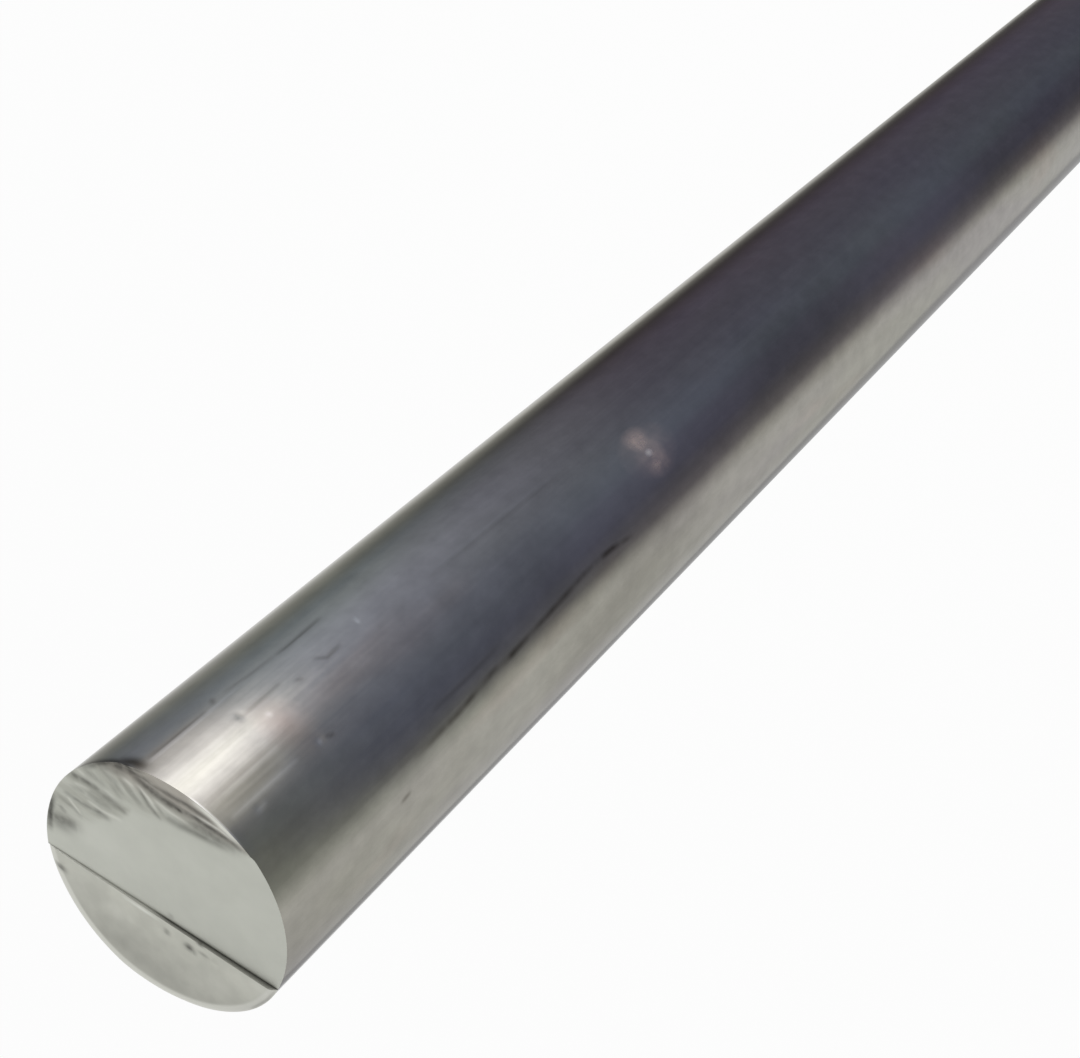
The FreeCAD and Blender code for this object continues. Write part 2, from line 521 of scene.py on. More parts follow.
def skin_points():
    """The points of the skin, as an array of rows by columns.

    A row keeps its distance from the sawn end, and bends to the rim near it: the height is
    the rim's, less the row's share of the way from the rim to the foot. The radius is the
    bar's, less the flutes and the dents, which begin a little way from the rim. A flute is
    a cosine of its count times the angle, turned slowly along the bar, and a dent is a
    bell curve.
    """
    from_top = skin_rows[:, None]
    angle = rim_angles[None, :]
    height = rim_points[None, :, 2] * (1 - from_top / bar_length)
    inward = np.zeros((len(skin_rows), column_count))
    for count, half_depth, turns in FLUTES:
        wander = count * (angle + 1.0) + full_turn * turns * from_top / bar_length
        inward += half_depth * MM * (1 + np.cos(wander))
    lying_turn = np.degrees(lying_angle(angle))
    for turn, distance, half_round, half_along, depth in DENTS:
        round_way = np.radians(lying_turn - turn) * bar_radius / MM / half_round
        along_way = (from_top / MM - distance) / half_along
        inward += depth * MM * np.exp(-(round_way**2) - along_way**2)
    inward *= smooth_step(from_top / ROUND_AT_RIM_LENGTH)
    radius = skin_radius - inward
    return np.stack([radius * np.cos(angle), radius * np.sin(angle), height], axis=-1)


skin = skin_points()

# %% [markdown]
# The foot and the joining up.
# The foot is a plain square saw cut, so a few rings are enough. Its edge is broken by a
# tenth of a millimetre. Then all points go into one list and each grid's cells become
# faces. The rings of the skin close on themselves, which the column numbers do by
# starting again at nought.

# %% The foot
FOOT_RINGS = 6
FOOT_EDGE_BREAK = 0.10 * MM

skin[-1, :, :2] *= 1 - FOOT_EDGE_BREAK / skin_radius
skin[-2, :, 2] = FOOT_EDGE_BREAK
foot_shares = np.linspace(1.0, 0.0, FOOT_RINGS + 1)[1:-1]
foot = skin[-1][None, :, :] * foot_shares[:, None, None]


# %% One closed mesh
def grid_cells(numbers):
    """The four corners of every cell of a grid of point numbers, row by row."""
    corners = (numbers[:-1, :-1], numbers[1:, :-1], numbers[1:, 1:], numbers[:-1, 1:])
    return np.stack([corner.ravel() for corner in corners], axis=-1)


def fan_cells(edge, tip):
    """Triangles that join each stretch of an edge to one tip."""
    return np.stack([edge[:-1], edge[1:], np.full(len(edge) - 1, tip)], axis=-1)


def bar_mesh():
    """The face, the skin and the foot as one mesh with shared points.

    The face's first and last chords have no length, so each is one point, and their cells
    are triangles. So are the cells round the middle of the foot. The skin's first column
    comes once more after its last one, which makes rings of its rows.
    """
    inner_points = face[1:-1].reshape(-1, 3)
    first_tip, last_tip = len(inner_points), len(inner_points) + 1
    face_numbers = np.full(face.shape[:2], first_tip)
    face_numbers[1:-1] = np.arange(first_tip).reshape(chord_count - 2, -1)
    face_numbers[-1] = last_tip

    ring_points = np.concatenate([skin[1:], foot]).reshape(-1, 3)
    foot_centre = last_tip + 1 + len(ring_points)
    ring_numbers = np.arange(last_tip + 1, foot_centre).reshape(-1, column_count)
    rim_numbers = face_numbers[rim_order, rim_side]
    ring_numbers = np.concatenate([rim_numbers[None, :], ring_numbers])
    ring_numbers = np.concatenate([ring_numbers, ring_numbers[:, :1]], axis=1)

    groups = [
        grid_cells(face_numbers[1:-1]),
        fan_cells(face_numbers[1], first_tip),
        fan_cells(face_numbers[-2, ::-1], last_tip),
        grid_cells(ring_numbers),
        fan_cells(ring_numbers[-1, ::-1], foot_centre),
    ]
    points = np.concatenate([inner_points, face[0, :1], face[-1, :1], ring_points, np.zeros((1, 3))])
    cells = [cell for group in groups for cell in group.tolist()]
    mesh = bpy.data.meshes.new("round_bar_surface")
    mesh.from_pydata(points.tolist(), [], cells)
    return mesh, [len(group) for group in groups]


mesh, group_sizes = bar_mesh()
print("points", len(mesh.vertices), "faces", len(mesh.polygons), "faces by group", group_sizes)
print("every edge between two faces:", 2 * len(mesh.edges) == len(mesh.loops))
print("nothing to mend:", not mesh.validate())

# %% [markdown]
# What the finish needs to know at each point.
# The shares are stored on the points. On the face they come from the strokes and spots,
# and on the skin from dark and light marks, whose paths are given by the lying angle and
# the distance from the sawn end, as one would measure them with a strip of tape. The dark
# marks are scratches, painted streaks in the highlight and painted shade, and the light marks
# are small nicks, painted glints and lighter patches. One long hairline wanders along the
# bar, so each point also gets its distance from that.

# %% Dark and light marks on the skin
# Each path lists lying angles in degrees and distances from the sawn end in millimetres.
# It is followed by the half width in millimetres and the strength from 0 to 1.
DARK_SCRATCHES_AND_SHADE = (
    # The first two are painted shade in the gap under the burr at the sawn edge.
    (((128.0, 0.0), (116.0, 0.05), (104.0, 0.15), (91.5, 0.20)), 0.50, 0.90),
    (((107.0, 0.20), (99.0, 0.45), (92.0, 0.20)), 0.72, 0.92),
    (((95.6, 0.8), (95.1, 4.2), (94.8, 8.6)), 0.20, 0.50),
    (((98.6, 10.4), (95.4, 9.8)), 0.26, 0.38),
    (((97.0, 11.7), (95.1, 14.8), (94.5, 18.2)), 0.20, 0.28),
    (((94.5, 18.2), (94.0, 19.6), (94.6, 24.8)), 0.20, 0.55),
    (((84.5, 9.7), (81.4, 9.8), (81.6, 11.6), (81.9, 15.1)), 0.22, 0.42),
    (((80.2, 19.6), (76.9, 20.4), (77.5, 22.6)), 0.20, 0.45),
    (((78.2, 16.2), (76.6, 16.9)), 0.20, 0.30),
    (((53.0, 13.4), (51.6, 14.3)), 0.20, 0.45),
    # The next six are painted streaks across the highlight.
    (((64.1, 0.5), (64.2, 6.0), (64.6, 12.0)), 0.28, 0.30),
    (((60.0, 0.8), (60.3, 6.0), (61.0, 11.4)), 0.34, 0.20),
    (((57.4, 1.0), (57.0, 8.0)), 0.24, 0.22),
    (((69.8, 4.0), (69.4, 9.0)), 0.18, 0.14),
    (((82.4, 3.0), (82.0, 8.0), (82.0, 13.0)), 0.30, 0.16),
    (((79.3, 6.5), (79.8, 13.0)), 0.60, 0.14),
    (((10.6, 17.2), (11.3, 18.6)), 0.22, 0.50),
    # A broad painted shade over the bright band.
    (((-12.0, 44.0), (-4.0, 52.0), (5.0, 60.0), (15.0, 78.0)), 3.40, 0.21),
    (((31.4, 25.0), (31.4, 31.0), (32.4, 36.0)), 0.24, 0.28),
    (((74.5, 36.0), (73.5, 42.0), (72.5, 50.0), (70.5, 59.0)), 0.24, 0.16),
)
# Light marks: small light nicks, painted glints along the highlight, and broad lighter patches.
LIGHT_NICKS_AND_PAINTED_GLINTS = (
    (((82.8, 26.4), (79.0, 26.1)), 0.22, 0.24),
    (((53.0, 12.3), (53.4, 12.9)), 0.26, 0.28),
    (((49.4, 3.1), (50.1, 4.4)), 0.22, 0.26),
    (((74.4, 11.1), (74.9, 11.7)), 0.35, 0.18),
    (((53.9, 1.0), (54.0, 9.5)), 0.24, 0.28),
    (((62.2, 2.0), (62.4, 9.0)), 0.24, 0.12),
    (((93.3, 0.8), (93.5, 7.0), (93.9, 13.0)), 0.24, 0.24),
    (((76.0, 36.0), (75.0, 42.0), (74.0, 50.0), (72.0, 59.0)), 0.24, 0.06),
    (((62.9, 101.0), (62.3, 107.5)), 0.90, 0.05),
    (((46.0, 52.0), (50.0, 94.0)), 3.40, 0.22),
    (((39.0, 122.0), (41.0, 164.0)), 3.60, 0.22),
    (((91.0, 8.0), (88.0, 27.0)), 2.40, 0.09),
    (((1.0, 27.0), (4.0, 42.0)), 2.40, 0.05),
    (((60.0, 108.0), (59.4, 112.5)), 0.90, 0.05),
)
# The hairline's route: the distance from the sawn end, and the lying angle there.
HAIRLINE_ROUTE = (
    (20.0, 21.4), (28.0, 22.8), (34.2, 25.6), (36.5, 24.9),
    (43.5, 26.6), (52.5, 29.1), (57.0, 28.7), (62.0, 25.6),
)


def on_tape(marks):
    """The marks with their paths as millimetres round and along the bar."""
    round_way = math.radians(1.0) * bar_radius / MM
    return [
        ([(turn * round_way, from_end) for turn, from_end in path], half_width, strength)
        for path, half_width, strength in marks
    ]


# %% Shares on the points
# The depth from which a furrow is fully torn, the share of the way into the filed rim from
# which it looks filed, and the share of the radius from which a point is on the rim.
FULLY_TORN_DEPTH = 0.05 * MM
FULLY_FILED_SHARE = 0.32
RIM_SHARE = 0.9995


def point_places():
    """X, Y and Z of all the points of the mesh."""
    places = np.empty(len(mesh.vertices) * 3)
    mesh.vertices.foreach_get("co", places)
    return places.reshape(-1, 3)


def face_shares(x, y):
    """Torn, darker, lighter and filed shares for points of the sawn end, each from 0 to 1."""
    darkened_strokes = [(path, half_width, darkness) for path, half_width, _, darkness in TORN_STROKES]
    return {
        "torn": np.maximum(torn_area(x, y), smooth_step(furrow_depth(x, y) / FULLY_TORN_DEPTH)),
        "dirt_and_shade": np.maximum.reduce([
            patch_field(x, y, DIRT_AND_SHADE_SPOTS), step_painted_shade(x, y), strongest_stroke(x, y, darkened_strokes),
        ]),
        "smear_and_highlight": np.maximum(patch_field(x, y, BRIGHT_SPOTS), strongest_stroke(x, y, SMEAR_AND_HIGHLIGHT_STROKES)),
        "filed": smooth_step(filed_share(x, y)[0] / FULLY_FILED_SHARE) * (y > STEP_ACROSS),
    }


def store_shares():
    """Stores the shares and the distance from the hairline on all points.

    A point of the rim belongs to the face and to the skin, so it takes the greater of its
    two shares. The hairline's angle at a point's distance from the end is read off between
    the places of its route, and taken from the point's own angle.
    """
    x, y, z = point_places().T
    face_count = (chord_count - 2) * (POINTS_ALONG_CHORD + 1) + 2
    arc, from_end = lying_angle(np.arctan2(y, x)) * bar_radius, bar_length - z
    stored_values = {
        "torn": np.zeros(len(x)),
        "dirt_and_shade": strongest_stroke(arc, from_end, on_tape(DARK_SCRATCHES_AND_SHADE)),
        "smear_and_highlight": strongest_stroke(arc, from_end, on_tape(LIGHT_NICKS_AND_PAINTED_GLINTS)),
        "filed": np.zeros(len(x)),
    }
    at_rim = np.hypot(x, y)[:face_count] > RIM_SHARE * skin_radius
    for name, on_face in face_shares(x[:face_count], y[:face_count]).items():
        on_skin = np.where(at_rim, stored_values[name][:face_count], 0.0)
        stored_values[name][:face_count] = np.maximum(on_face, on_skin)
    route_along, route_turn = np.array(HAIRLINE_ROUTE).T
    line_turn = np.interp(from_end / MM, route_along, route_turn)
    stored_values["from_hairline"] = arc - np.radians(line_turn) * bar_radius
    for name, values in stored_values.items():
        layer = mesh.attributes.new(name, "FLOAT", "POINT")
        layer.data.foreach_set("value", values.astype(np.float32))
        print(name, "from", round(float(values.min()), 4), "to", round(float(values.max()), 4))


store_shares()


# %% The rolled-off map
# The numbers of the two finishes: that of the drawn skin, and that of both sawn ends.
DRAWN = 0
SAWN = 1


def store_map():
    """The skin's map: the way round from our right and the distance from the sawn end.

    The column at the map's seam is counted on past the full turn, so no cell is folded.
    Elsewhere the map is just X and Y. Each cell also gets the number of its finish.
    """
    corner_points = np.empty(len(mesh.loops), int)
    mesh.loops.foreach_get("vertex_index", corner_points)
    rolled = point_places()[corner_points, :2]
    cells_before = sum(group_sizes[:3])
    first_corner = 4 * group_sizes[0] + 3 * (group_sizes[1] + group_sizes[2])
    row_count = len(skin_rows) - 1
    row = np.repeat(np.arange(row_count), column_count)
    column = np.tile(np.arange(column_count), row_count)
    turns = np.append(rim_angles, rim_angles[0] + full_turn) - math.pi - STEP_SLOPE
    round_way = turns * bar_radius
    across = np.stack([round_way[column + step] for step in (0, 0, 1, 1)], axis=-1)
    along = np.stack([skin_rows[row + step] for step in (0, 1, 1, 0)], axis=-1)
    skin_corners = slice(first_corner, first_corner + 4 * row_count * column_count)
    rolled[skin_corners] = np.stack([across, along], axis=-1).reshape(-1, 2)
    layer = mesh.uv_layers.new(name="rolled_off")
    layer.data.foreach_set("uv", rolled.astype(np.float32).ravel())
    finishes = np.full(len(mesh.polygons), SAWN, np.int32)
    finishes[cells_before:cells_before + row_count * column_count] = DRAWN
    mesh.polygons.foreach_set("material_index", finishes)
    print("corners on the skin's map", 4 * row_count * column_count, "of", len(mesh.loops))


store_map()

# %% The object
CREASE = math.radians(35)

mesh.polygons.foreach_set("use_smooth", np.ones(len(mesh.polygons), bool))
mesh.set_sharp_from_angle(angle=CREASE)
mesh.update()
round_bar = put_in_scene("bar_stock", mesh)
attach(round_bar, "root")
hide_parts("round_bar")


# %% [markdown]
# Finishes are small networks.
# A finish in Blender is a network of nodes that ends in a shader. One helper adds a node
# and fills its inputs, either with numbers or with what another node gives, so that each
# line below reads like a sentence about the metal.

# %% A helper for finishes
def place_node(tree, kind, values=None, **settings):
    """Adds one node with its settings, and fills its inputs with numbers or other outputs.

    The kind is named without the word ShaderNode, with which all of them begin.
    """
    node = tree.nodes.new("ShaderNode" + kind)
    for name, value in settings.items():
        setattr(node, name, value)
    for name, value in (values or {}).items():
        if isinstance(value, bpy.types.NodeSocket):
            tree.links.new(value, node.inputs[name])
        else:
            node.inputs[name].default_value = value
    return node


def between(tree, value, low, high, from_low, from_high):
    """A number mapped from one range to another, and kept inside the second."""
    ends = {"From Min": from_low, "From Max": from_high, "To Min": low, "To Max": high}
    return place_node(tree, "MapRange", {"Value": value, **ends}).outputs["Result"]


def arithmetic(tree, operation, first, second=0.0):
    """One product, difference or the like of two numbers."""
    return place_node(tree, "Math", {0: first, 1: second}, operation=operation).outputs[0]


def product(tree, *numbers):
    """All the numbers multiplied together."""
    result = numbers[0]
    for number in numbers[1:]:
        result = arithmetic(tree, "MULTIPLY", result, number)
    return result


def weighed_sum(tree, *parts):
    """The sum of some numbers, each first multiplied by the weight that follows it."""
    total = 0.0
    for number, weight in parts:
        values = {0: number, 1: weight, 2: total}
        total = place_node(tree, "Math", values, operation="MULTIPLY_ADD").outputs[0]
    return total


def vector_math(tree, operation, first, second=(0.0, 0.0, 0.0)):
    """One difference, length or the like of vectors."""
    node = place_node(tree, "VectorMath", {0: first, 1: second}, operation=operation)
    return node.outputs["Value" if operation in ("LENGTH", "DOT_PRODUCT") else "Vector"]


def mixed(tree, share, first, second, blend="MIX"):
    """Two colours mixed, or blended in another way, by a share.

    The node's inputs 6 and 7 and its output 2 are the ones for colours.
    """
    node = place_node(tree, "Mix", {"Factor": share}, data_type="RGBA", blend_type=blend)
    for socket, colour in ((node.inputs[6], first), (node.inputs[7], second)):
        if isinstance(colour, bpy.types.NodeSocket):
            tree.links.new(colour, socket)
        else:
            socket.default_value = (*colour, 1.0)
    return node.outputs[2]


def noise(tree, vector, scale, detail, strength, stretch):
    """A cloudy pattern from 0 to 1, with the place scaled first to draw the clouds out."""
    values = {"Vector": vector, "Scale": stretch}
    place = place_node(tree, "Mapping", values).outputs["Vector"]
    values = {"Vector": place, "Scale": scale, "Detail": detail, "Roughness": strength}
    return place_node(tree, "TexNoise", values).outputs["Fac"]


def stored(tree, name):
    """A share that is stored on the points."""
    return place_node(tree, "Attribute", attribute_name=name).outputs["Fac"]


def shaded(tree, colour, *shades):
    """A colour made lighter or darker by one or more numbers around 1."""
    shade = product(tree, *shades)
    channels = {"Red": shade, "Green": shade, "Blue": shade}
    grey = place_node(tree, "CombineColor", channels).outputs[0]
    return mixed(tree, 1.0, colour, grey, "MULTIPLY")


def finish_relief(tree, shader, height, strength, depth):
    """Tilts the light on a finish as if its surface had the given heights."""
    values = {"Strength": strength, "Distance": depth, "Height": height}
    bump = place_node(tree, "Bump", values)
    tree.links.new(bump.outputs["Normal"], shader.inputs["Normal"])


def new_finish(name):
    """A fresh material with its metal shader and its Object coordinates."""
    finish = bpy.data.materials.new(name)
    finish.use_nodes = True
    tree = finish.node_tree
    shader = tree.nodes["Principled BSDF"]
    shader.inputs["Metallic"].default_value = 1.0
    here = place_node(tree, "TexCoord").outputs["Object"]
    return finish, tree, shader, here


# %% [markdown]
# The drawn skin.
# The die scores lines along the whole bar, so the finish has clouds that are stretched a
# hundred times and more along Z. They change the gloss more than the colour, which is why
# they show in the highlight and hardly elsewhere. Small mottled clouds lie over them, with
# tints of violet and in places of rust. Near the sawn end, where the highlight falls, streaks
# of the highlight are painted into the colour, and where the highlight ends a pinkish brown
# is painted, a painted reflection. Further on the skin has a stain with a bright dot in it.
# A drawn skin is less bright than clean metal when it is seen at a low angle, which is the
# shader's specular tint.

# %% The skin's metals and patterns
DRAWN_METAL = (0.346, 0.337, 0.296)
VIOLET_TINT = (0.331, 0.312, 0.305)
BROWN_TINT = (0.370, 0.295, 0.250)
STAIN_TINT = (0.88, 0.65, 0.51)
STAIN_DOT_TINT = (1.00, 0.90, 0.80)
# For scratches and the hairline, and for painted shade and streaks.
DARK_LINE_AND_SHADE_TINT = (0.050, 0.040, 0.026)
# For light nicks and painted glints.
NICK_AND_GLINT_TINT = (0.85, 0.85, 0.82)
LOW_ANGLE_TINT = (0.70, 0.70, 0.70, 1.0)

# Each cloudy pattern has how fine it is per metre, its layers of detail and how strong
# they are, and how the place is scaled along X, Y and Z.
STREAKS = (700.0, 2.0, 0.5, (1.0, 1.0, 0.010))
HAIRS = (3000.0, 3.0, 0.6, (1.0, 1.0, 0.004))
MOTTLE = (480.0, 3.0, 0.6, (1.0, 1.0, 0.6))
# The pattern of the streaks that are painted where the highlight falls.
PAINTED_STREAKS = (1000.0, 2.0, 0.5, (1.0, 1.0, 0.02))
VIOLET_CLOUDS = (90.0, 2.0, 0.5, (1.0, 1.0, 0.25))
BROWN_CLOUDS = (150.0, 2.0, 0.5, (1.0, 1.0, 0.25))
STAIN_BLOTCHES = (500.0, 2.0, 0.5, (1.0, 1.0, 1.0))
HAIRLINE_BREAKS = (260.0, 2.0, 0.5, (0.2, 0.2, 1.0))
# A spread turns a pattern or a distance into a strength: first the two strengths, and then
# where they are reached.
LINE_SPREAD = (0.98, 1.02, 0.3, 0.7)
MOTTLE_SPREAD = (0.91, 1.09, 0.3, 0.7)
PAINTED_STREAK_SPREAD = (-0.15, 0.19, 0.35, 0.65)
VIOLET_SPREAD = (0.0, 0.8, 0.40, 0.65)
BROWN_SPREAD = (0.0, 0.28, 0.60, 0.75)
BLOTCH_SPREAD = (0.55, 1.05, 0.38, 0.62)
STREAK_GLOSS_SPREAD = (0.085, 0.135, 0.3, 0.7)
HAIR_GLOSS_SPREAD = (0.0, 0.03, 0.3, 0.7)
# The hairline fades away from its route and at both ends, and is broken here and there.
HAIRLINE_SPREAD = (0.70, 0.0, 0.06 * MM, 0.46 * MM)
HAIRLINE_START_SPREAD = (0.0, 1.0, 20.0 * MM, 26.0 * MM)
HAIRLINE_STOP_SPREAD = (1.0, 0.0, 59.0 * MM, 62.0 * MM)
BREAK_SPREAD = (0.25, 1.0, 0.35, 0.6)

# Each spot has its lying angle in degrees, and its distance from the sawn end and its half
# sizes round and along the bar in millimetres.
# A pinkish brown painted where the highlight ends, a painted reflection.
PINK_REFLECTION_SPOT = (67.0, 12.0, 4.0, 3.0)
PINK_REFLECTION_STRENGTH = 0.6
# The spot where the highlight falls, in which its streaks are painted into the colour.
PAINTED_STREAK_SPOT = (70.0, 5.0, 6.5, 9.0)
STAIN_DOT_SPOT = (50.2, 71.0, 0.55, 0.85)
STAIN_DOT_SPREAD = (0.0, 0.9, 0.05, 0.80)
# The stain: a weak halo and two stronger spots in it, each with its strength at the end.
STAIN_SPOTS = (
    (51.4, 71.3, 3.3, 5.6, 0.60),
    (56.8, 71.1, 2.2, 3.4, 0.86),
    (45.2, 71.4, 2.2, 3.6, 0.80),
)
STAIN_EDGE = (0.05, 0.75)
# The roughness that the stain and its dot add, the height of each pattern, and the
# strength and depth of the relief that the heights make.
STAIN_ROUGHNESS = 0.20
STAIN_DOT_ROUGHNESS = 0.13
HAIR_HEIGHT = 0.12
STREAK_HEIGHT = 0.4
MOTTLE_HEIGHT = 0.7
DARK_MARK_HEIGHT = -1.0
SKIN_RELIEF = (0.4, 0.010 * MM)


# %% The skin's marks
def spot_on_skin(tree, rolled, turn_degrees, from_end, half_round, half_along):
    """How near a place is to a spot on the skin: 1 at its middle and 0 at its edge.

    The offset from the spot's middle is divided by its half sizes, and its length counts.
    """
    centre = (math.radians(turn_degrees) * bar_radius, from_end * MM, 0.0)
    offset = vector_math(tree, "SUBTRACT", rolled, centre)
    reach = vector_math(tree, "DIVIDE", offset, (half_round * MM, half_along * MM, 1.0))
    return between(tree, vector_math(tree, "LENGTH", reach), 1.0, 0.0, 0.0, 1.0)


def hairline(tree, rolled, here):
    """How much of the long hairline is at a place: thin, uneven, and fading out at both ends."""
    from_line = arithmetic(tree, "ABSOLUTE", stored(tree, "from_hairline"))
    along = place_node(tree, "SeparateXYZ", {0: rolled}).outputs["Y"]
    return product(
        tree,
        between(tree, from_line, *HAIRLINE_SPREAD),
        between(tree, along, *HAIRLINE_START_SPREAD),
        between(tree, along, *HAIRLINE_STOP_SPREAD),
        between(tree, noise(tree, here, *HAIRLINE_BREAKS), *BREAK_SPREAD),
    )


def stain(tree, rolled, here):
    """How strong the stain is at a place: that of its strongest spot, broken into blotches."""
    strongest = 0.0
    for *place_and_sizes, strength in STAIN_SPOTS:
        spot = spot_on_skin(tree, rolled, *place_and_sizes)
        spot = between(tree, spot, 0.0, strength, *STAIN_EDGE)
        strongest = arithmetic(tree, "MAXIMUM", spot, strongest)
    blotches = between(tree, noise(tree, here, *STAIN_BLOTCHES), *BLOTCH_SPREAD)
    return product(tree, strongest, blotches)


def painted_highlight_streaks(tree, rolled, here):
    """Painted streaks in the colour where the highlight falls near the sawn end: 1 away from them."""
    streak_shades = between(tree, noise(tree, here, *PAINTED_STREAKS), *PAINTED_STREAK_SPREAD)
    in_streak_spot = spot_on_skin(tree, rolled, *PAINTED_STREAK_SPOT)
    return weighed_sum(tree, (streak_shades, in_streak_spot), (1.0, 1.0))


# %% The skin's finish
def skin_finish():
    """Drawn metal: streaks, tints and the named marks, with the streaks mostly in the gloss."""
    finish, tree, shader, here = new_finish("drawn_skin")
    shader.inputs["Specular Tint"].default_value = LOW_ANGLE_TINT
    rolled = place_node(tree, "UVMap", uv_map="rolled_off").outputs["UV"]
    streaks, hairs, mottle = (noise(tree, here, *kind) for kind in (STREAKS, HAIRS, MOTTLE))
    violet = between(tree, noise(tree, here, *VIOLET_CLOUDS), *VIOLET_SPREAD)
    brown = between(tree, noise(tree, here, *BROWN_CLOUDS), *BROWN_SPREAD)
    pink_reflection = product(tree, spot_on_skin(tree, rolled, *PINK_REFLECTION_SPOT), PINK_REFLECTION_STRENGTH)

    colour = DRAWN_METAL
    for share, tint in ((violet, VIOLET_TINT), (brown, BROWN_TINT), (pink_reflection, BROWN_TINT)):
        colour = mixed(tree, share, colour, tint)
    colour = shaded(
        tree,
        colour,
        between(tree, streaks, *LINE_SPREAD),
        between(tree, hairs, *LINE_SPREAD),
        between(tree, mottle, *MOTTLE_SPREAD),
        painted_highlight_streaks(tree, rolled, here),
    )

    stained = stain(tree, rolled, here)
    dot = between(tree, spot_on_skin(tree, rolled, *STAIN_DOT_SPOT), *STAIN_DOT_SPREAD)
    scratch_and_shade_marks = stored(tree, "dirt_and_shade")
    dark = arithmetic(tree, "MAXIMUM", hairline(tree, rolled, here), scratch_and_shade_marks)
    # Mixed in last: the stain and its dot, light nicks and painted glints, then scratches, the
    # hairline, painted streaks and painted shade.
    for share, tint in (
        (stained, STAIN_TINT),
        (dot, STAIN_DOT_TINT),
        (stored(tree, "smear_and_highlight"), NICK_AND_GLINT_TINT),
        (dark, DARK_LINE_AND_SHADE_TINT),
    ):
        colour = mixed(tree, share, colour, tint)
    tree.links.new(colour, shader.inputs["Base Color"])

    gloss = weighed_sum(
        tree,
        (between(tree, streaks, *STREAK_GLOSS_SPREAD), 1.0),
        (between(tree, hairs, *HAIR_GLOSS_SPREAD), 1.0),
        (stained, STAIN_ROUGHNESS),
        (dot, STAIN_DOT_ROUGHNESS),
    )
    tree.links.new(gloss, shader.inputs["Roughness"])
    heights = weighed_sum(
        tree,
        (hairs, HAIR_HEIGHT),
        (streaks, STREAK_HEIGHT),
        (mottle, MOTTLE_HEIGHT),
        (scratch_and_shade_marks, DARK_MARK_HEIGHT),
    )
    finish_relief(tree, shader, heights, *SKIN_RELIEF)
    return finish


# %% [markdown]
# The sawn end.
# A fine blade leaves soft metal almost matt, with faint lines along its travel. Where it
# tore, the metal is rougher and darker, in strokes that follow the blade, and near the
# sliver at a slant to it. The sliver itself is stained brown. The finish mixes these
# metals by the shares on the points, and stretched clouds break up their edges.

# %% The sawn end's finish
SAWN_METAL = (0.640, 0.645, 0.590)
SECOND_CUT_METAL = (0.630, 0.627, 0.568)
# The second cut darkens towards its rim, a painted shade.
SECOND_CUT_SHADED_AT_RIM = (0.490, 0.485, 0.440)
TORN_METAL = (0.535, 0.535, 0.484)
BITTEN_METAL = (0.500, 0.465, 0.420)
FILED_METAL = (0.740, 0.735, 0.680)
# For smears, and for painted highlights on the rim and the step's lip.
SMEAR_AND_HIGHLIGHT_METAL = (0.880, 0.875, 0.820)
# Near black: for dirt and for painted shade.
DIRT_AND_SHADE_METAL = (0.055, 0.053, 0.047)

# The cloudy patterns and spreads of the sawn end, given like those of the skin.
SAW_LINES = (1900.0, 3.0, 0.6, (0.12, 1.0, 1.0))
TEARS = (900.0, 4.0, 0.65, (0.18, 1.0, 1.0))
DARK_GAPS = (1000.0, 3.0, 0.5, (1.0, 1.0, 1.0))
FACE_MOTTLE = (330.0, 3.0, 0.55, (1.0, 1.0, 1.0))
GRAIN = (5200.0, 2.0, 0.5, (1.0, 1.0, 1.0))
MAIN_FACE_SPREAD = (0.975, 1.02, 0.35, 0.65)
SECOND_CUT_SPREAD = (0.93, 1.06, 0.35, 0.65)
DARK_GAP_SPREAD = (0.30, 0.0, 0.38, 0.58)
TEAR_SPREAD = (0.30, 1.0, 0.38, 0.60)
SAWN_GLOSS_SPREAD = (0.50, 0.62, 0.0, 1.0)
# Spreads of the place along Y: the tears' slant, the second cut, the painted shade that
# darkens it towards its rim, and the metal that the blade bit first.
TEAR_SLANT = math.radians(34)
SLANT_SPREAD = (1.0, 0.0, -8.6 * MM, -7.2 * MM)
SECOND_SPREAD = (0.0, 1.0, STEP_ACROSS, STEP_ACROSS + 2 * RISER_HALF_WIDTH)
RIM_SPREAD = (0.0, 1.0, 3.2 * MM, 9.5 * MM)
BITTEN_SPREAD = (0.85, 0.0, -SLIVER_ACROSS, -SLIVER_ACROSS + 1.8 * MM)
SAW_LINE_HEIGHT = 0.5
GRAIN_HEIGHT = 0.4
TORN_HEIGHT = -3.0
SAWN_RELIEF = (0.5, 0.02 * MM)


def tear_pattern(tree, here, y):
    """Clouds stretched along the blade's travel, and at a slant to it near the sliver."""
    values = {"Vector": here, "Rotation": (0.0, 0.0, TEAR_SLANT)}
    turned = place_node(tree, "Mapping", values).outputs["Vector"]
    straight, slanted = (noise(tree, place, *TEARS) for place in (here, turned))
    share = between(tree, y, *SLANT_SPREAD)
    rest = arithmetic(tree, "SUBTRACT", 1.0, share)
    return weighed_sum(tree, (slanted, share), (straight, rest))


def held_dirt_and_shade(tree, here):
    """The dirt and painted shade on the face: as stored, but patchy where the metal is torn."""
    gaps = between(tree, noise(tree, here, *DARK_GAPS), *DARK_GAP_SPREAD)
    left_out = product(tree, stored(tree, "torn"), gaps)
    return product(tree, stored(tree, "dirt_and_shade"), arithmetic(tree, "SUBTRACT", 1.0, left_out))


